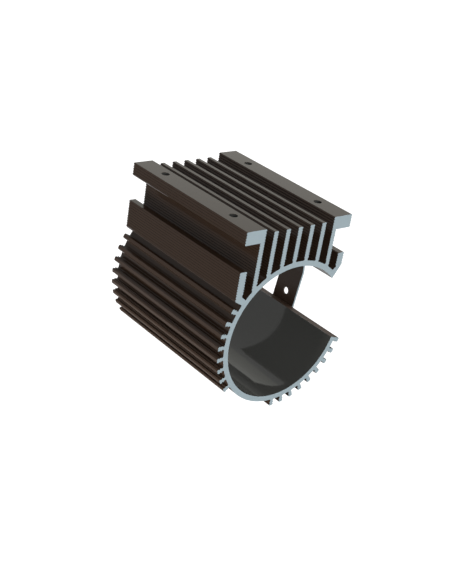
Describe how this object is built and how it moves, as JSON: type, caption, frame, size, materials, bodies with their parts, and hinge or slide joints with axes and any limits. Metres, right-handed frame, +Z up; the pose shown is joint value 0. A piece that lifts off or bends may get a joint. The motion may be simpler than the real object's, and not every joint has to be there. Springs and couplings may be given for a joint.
{
  "type": "motor heat sink",
  "caption": "Finned aluminium sleeve that clips round an electric motor, open along one side, with rails on top for a cooling fan.",
  "frame": {"origin": "on the axis of the motor bore, at the middle of the sleeve's length", "axes": "+Y along the bore axis, +Z up to the fan rails at right angles to their tops, +X towards the open side with the strap"},
  "size_m": [0.0517, 0.0534, 0.0602],
  "materials": {
    "anodised_aluminium": "dark brown anodised, satin, with the end cuts bare and pale"
  },
  "bodies": {
    "root": {"heat_sink": "anodised_aluminium"}
  },
  "joints": []
}
